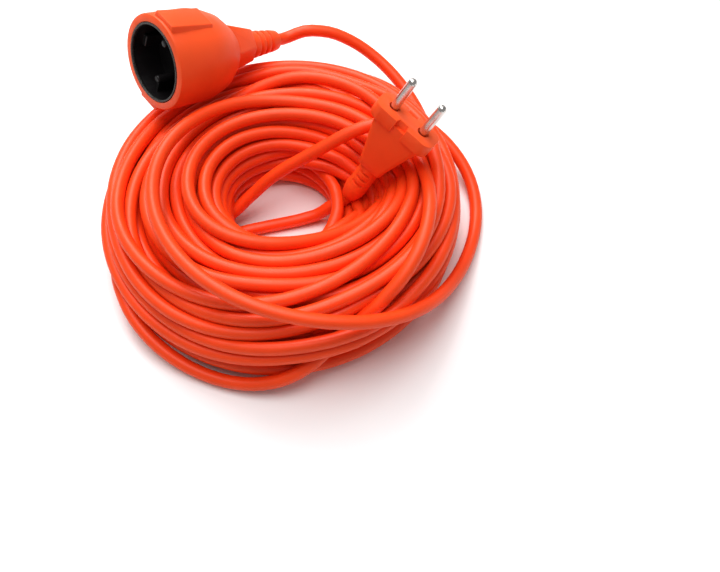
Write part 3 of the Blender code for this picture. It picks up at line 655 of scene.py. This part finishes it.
def moulding(name, colour, roughness):
    """A small moulded part: gentle clouds in its tone, and a fine satin skin."""
    made = Shader(name, roughness)
    clouds = made.noise(5 * MM, 3)
    tone = made.ramp(clouds, [(0.3, shade(colour, 0.86)), (0.7, shade(colour, 1.12))])
    made.connect(tone, "Base Color")
    rubbed = made.noise(1.5 * MM, 3)
    made.connect(made.scaled(rubbed, roughness - 0.08, roughness + 0.1), "Roughness")
    made.connect(made.bump(made.noise(0.3 * MM, 3), 0.012 * MM, 0.8), "Normal")
    return made.material


def metal(name, colour, roughness, grain):
    """Metal with slight tarnish in clouds, a fine grain, and patches rubbed brighter or duller."""
    made = Shader(name, roughness, 1.0)
    clouds = made.noise(4 * MM, 4, 0.6)
    tone = made.ramp(clouds, [(0.30, shade(colour, TARNISH)), (0.62, colour)])
    made.connect(tone, "Base Color")
    rubbed = made.noise(1.2 * MM, 4, 0.65)
    made.connect(made.scaled(rubbed, roughness - 0.06, roughness + 0.12), "Roughness")
    made.connect(made.bump(made.noise(grain, 2, 0.5), 0.004 * MM, 0.7), "Normal")
    return made.material


# ---------------------------------------------------------------- camera, floor and light


def make_camera():
    """The photograph's view of the coil."""
    data = bpy.data.cameras.new("camera")
    data.sensor_width = 36
    data.lens = CAMERA_LENS
    camera = bpy.data.objects.new("camera", data)
    camera.location = CAMERA_PLACE
    camera.rotation_euler = CAMERA_TURN
    bpy.context.scene.collection.objects.link(camera)
    bpy.context.scene.camera = camera


def make_floor():
    """A plain white ground with the faintest clouds."""
    bm = bmesh.new()
    bmesh.ops.create_grid(bm, x_segments=2, y_segments=2, size=FLOOR_SIZE)
    mesh = bpy.data.meshes.new("floor")
    bm.to_mesh(mesh)
    bm.free()
    floor = bpy.data.objects.new("floor", mesh)
    bpy.context.scene.collection.objects.link(floor)
    made = Shader("floor_paper", 0.75)
    clouds = made.noise(60 * MM, 3)
    made.connect(made.ramp(clouds, list(zip((0.3, 0.7), FLOOR_TONES))), "Base Color")
    floor.data.materials.append(made.material)


def area_light(name, place, size, power):
    """A round soft light that points at the origin."""
    data = bpy.data.lights.new(name, "AREA")
    data.shape = "DISK"
    data.size = size
    data.energy = power
    light = bpy.data.objects.new(name, data)
    light.location = place
    light.rotation_euler = (-Vector(place)).to_track_quat("-Z", "Y").to_euler()
    bpy.context.scene.collection.objects.link(light)


def make_world():
    """Even white light from all round."""
    world = bpy.data.worlds.new("studio")
    world.use_nodes = True
    background = world.node_tree.nodes["Background"]
    background.inputs["Color"].default_value = (1, 1, 1, 1)
    background.inputs["Strength"].default_value = WORLD_STRENGTH
    bpy.context.scene.world = world


def set_view():
    """A plain display transform, with the contrast of a product photograph."""
    view = bpy.context.scene.view_settings
    view.view_transform = "Standard"
    view.gamma = DISPLAY_GAMMA


# ---------------------------------------------------------------- pieces


def make_cord():
    """The one cord, wound and settled."""
    line, freedom = lay_cord(SOCKET, PLUG)
    line = settle(line, freedom)
    line = evenly(line, POINT_SPACING)
    curve = bpy.data.curves.new("cord", "CURVE")
    curve.dimensions = "3D"
    curve.bevel_depth = CORD_DIAMETER / 2
    curve.bevel_resolution = CORD_RESOLUTION
    curve.use_fill_caps = True
    spline = curve.splines.new("POLY")
    spline.points.add(len(line) - 1)
    places = np.concatenate([line, np.ones((len(line), 1))], axis=1)
    spline.points.foreach_set("co", places.ravel())
    spline.use_smooth = True
    cord = bpy.data.objects.new("cord", curve)
    bpy.context.scene.collection.objects.link(cord)
    curve.materials.append(orange_pvc("cord_pvc"))
    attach(cord, "cord_set")
    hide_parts("cord_coil", "lead_to_socket", "lead_to_plug", "loose_loop", "crossing_run")


def paint(material, *nodes):
    """Gives CAD parts a finished material."""
    for node in nodes:
        mesh = frame["nodes"][node].data
        mesh.materials.clear()
        mesh.materials.append(material)


def refined(node, name, material, width):
    """A copy of a CAD part with rounded edges and smooth shading, which stands in for it."""
    bm = bmesh.new()
    bm.from_mesh(frame["nodes"][node].data)
    bmesh.ops.remove_doubles(bm, verts=bm.verts, dist=WELD)
    bmesh.ops.dissolve_limit(bm, angle_limit=FLAT_ANGLE, verts=bm.verts, edges=bm.edges)
    for face in bm.faces:
        face.smooth = True
    mesh = bpy.data.meshes.new(name)
    bm.to_mesh(mesh)
    bm.free()
    piece = bpy.data.objects.new(name, mesh)
    bpy.context.scene.collection.objects.link(piece)
    rounding = piece.modifiers.new("rounding", "BEVEL")
    rounding.width = width
    rounding.segments = ROUNDING_SEGMENTS
    rounding.limit_method = "ANGLE"
    rounding.angle_limit = EDGE_ANGLE
    rounding.harden_normals = True
    mesh.materials.append(material)
    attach(piece, "cord_set")
    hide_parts(node)
    return piece


def make_shells():
    """The soft orange shells of the socket and the plug."""
    # The shells' colour holds painted light: it is lighter than their own orange.
    shell = orange_pvc("shell_pvc", SHELL_ORANGE_WITH_PAINTED_LIGHT, 0.46, 0.5 * MM, 0.02 * MM)
    for node, name, width in SHELLS:
        refined(node, name, shell, width)


def new_piece(name, bm, material):
    """A smooth-shaded piece that rides with the cord set."""
    bmesh.ops.recalc_face_normals(bm, faces=bm.faces)
    for face in bm.faces:
        face.smooth = True
    mesh = bpy.data.meshes.new(name)
    bm.to_mesh(mesh)
    bm.free()
    mesh.materials.append(material)
    piece = bpy.data.objects.new(name, mesh)
    bpy.context.scene.collection.objects.link(piece)
    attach(piece, "cord_set")
    return piece


def joined_loops(place, loops):
    """A closed band of faces through loops of points, the last loop joined to the first."""
    bm = bmesh.new()
    rows = [[bm.verts.new(place @ Vector(point)) for point in loop] for loop in loops]
    for row, after in zip(rows, rows[1:] + rows[:1]):
        for index, vertex in enumerate(row):
            following = (index + 1) % len(row)
            bm.faces.new((vertex, after[index], after[following], row[following]))
    return bm


def make_insert():
    """The black cup, the scuffed edge of its wall, and the empty label frame on its floor."""
    black = black_moulding("insert_black")
    refined("socket_insert", "insert_body", black, INSERT_ROUNDING)
    turns = [math.tau * step / RIM_STEPS for step in range(RIM_STEPS)]
    rim = [[(r * math.cos(turn), r * math.sin(turn), z) for r, z in RIM_SECTION] for turn in turns]
    new_piece("insert_rim", joined_loops(SOCKET, rim), worn_edge("insert_edge"))
    corners = []
    for sx, sy in ((1, 1), (-1, 1), (-1, -1), (1, -1)):
        corner = []
        for inset, rise in LABEL_SECTION:
            x, y = sx * (LABEL_SIZE[0] / 2 - inset), sy * (LABEL_SIZE[1] / 2 - inset)
            corner.append((x, y, rise - RECESS_DEPTH))
        corners.append(corner)
    label = new_piece("insert_label_frame", joined_loops(SOCKET, corners), black)
    rounding = label.modifiers.new("rounding", "BEVEL")
    rounding.width = LABEL_ROUNDING
    rounding.segments = 2


def finish_small_parts():
    """Materials for the CAD parts that keep their own shape."""
    paint(moulding("shutter_red", RED, 0.42), "shutter")
    paint(moulding("carrier_grey", GREY, 0.5), "contact_carrier", "pin_bridge")
    paint(metal("contact_brass", BRASS, 0.3, 0.5 * MM), "socket_contact_left", "socket_contact_right")
    paint(metal("pin_nickel", NICKEL, 0.2, 0.35 * MM), "plug_pin_left", "plug_pin_right")
    paint(metal("spring_wire", STEEL, 0.32, 0.2 * MM), "shutter_spring")
    paint(moulding("core_blue", BLUE, 0.45), "plug_core_blue", "socket_core_blue")
    paint(moulding("core_brown", BROWN, 0.45), "plug_core_brown", "socket_core_brown")


make_camera()
make_floor()
make_world()
for light_name, light_place, light_size, light_power in LIGHTS:
    area_light(light_name, light_place, light_size, light_power)
set_view()
make_cord()
make_shells()
make_insert()
finish_small_parts()
